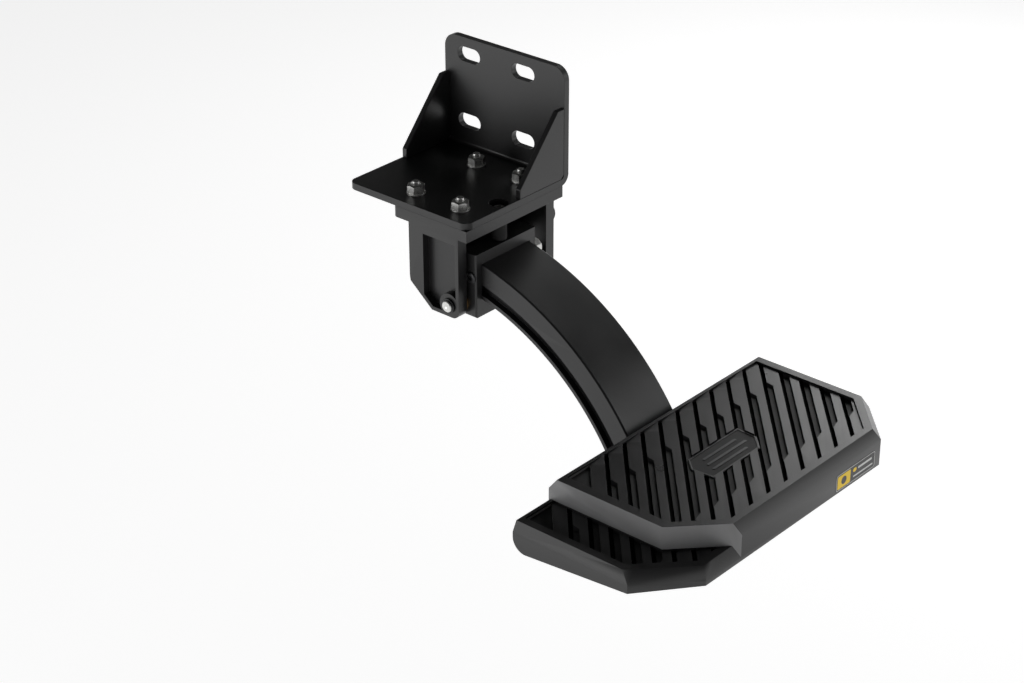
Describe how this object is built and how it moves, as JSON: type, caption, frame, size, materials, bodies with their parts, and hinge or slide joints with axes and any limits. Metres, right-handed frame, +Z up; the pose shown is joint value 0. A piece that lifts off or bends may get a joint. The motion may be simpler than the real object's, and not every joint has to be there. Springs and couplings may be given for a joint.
{
  "type": "retractable bumper step",
  "caption": "Retractable under-bumper step: a two-tier ribbed tread pad on a curved arm, hinged in a steel bracket with a spring-loaded lock, bolted to the vehicle's frame.",
  "frame": {"origin": "centre of the four slotted frame-bolt holes, on the bracket's outer face", "axes": "+X to the vehicle's right, +Y towards the vehicle's front, +Z up"},
  "size_m": [0.307, 0.438, 0.2892],
  "materials": {
    "black_coat": "satin black powder coat over steel",
    "cast_tread": "matte black coat over die-cast aluminium",
    "zinc_plate": "bright zinc plate",
    "black_steel": "black oxide",
    "spring_wire": "oiled spring wire",
    "bronze": "sintered bronze",
    "stop_rubber": "moulded rubber",
    "black_plastic": "moulded nylon",
    "label_film": "printed film, yellow and black"
  },
  "bodies": {
    "bracket": {"frame_bracket": "black_coat", "frame_gussets": "black_coat", "hinge_bracket": "black_coat", "bracket_bolts": "zinc_plate", "bracket_washers": "zinc_plate", "bracket_nuts": "zinc_plate", "deploy_stop": "stop_rubber", "deploy_stop_screw": "zinc_plate", "stow_stop": "stop_rubber", "stow_stop_screws": "zinc_plate", "pivot_pin": "zinc_plate", "pivot_rings": "black_steel", "spring_spacer": "black_plastic", "return_spring": "spring_wire", "lock_collar": "zinc_plate", "lock_spring": "spring_wire"},
    "step": {"knuckle": "black_coat", "curved_arm": "black_coat", "arm_bolts": "zinc_plate", "arm_nuts": "zinc_plate", "pivot_bushings": "bronze", "spring_peg": "zinc_plate", "step_pad": "cast_tread", "pad_plaque": "black_plastic", "warning_label": "label_film", "pad_cover": "black_plastic", "foot_plate": "black_coat", "pad_bolts": "zinc_plate", "pad_washers": "zinc_plate", "cover_screws": "black_steel"},
    "lock": {"lock_plunger": "zinc_plate", "lock_knob": "black_plastic"}
  },
  "joints": [
    {"name": "step_swing", "type": "hinge", "parent": "bracket", "child": "step", "pos_m": [-0.077, -0.055, -0.13], "axis": [1, 0, 0], "range_deg": [0, 160], "deforming": ["return_spring"]},
    {"name": "lock_slide", "type": "slide", "parent": "bracket", "child": "lock", "axis": [-1, 0, 0], "range_m": [0, 0.0072], "deforming": ["lock_spring"]}
  ]
}
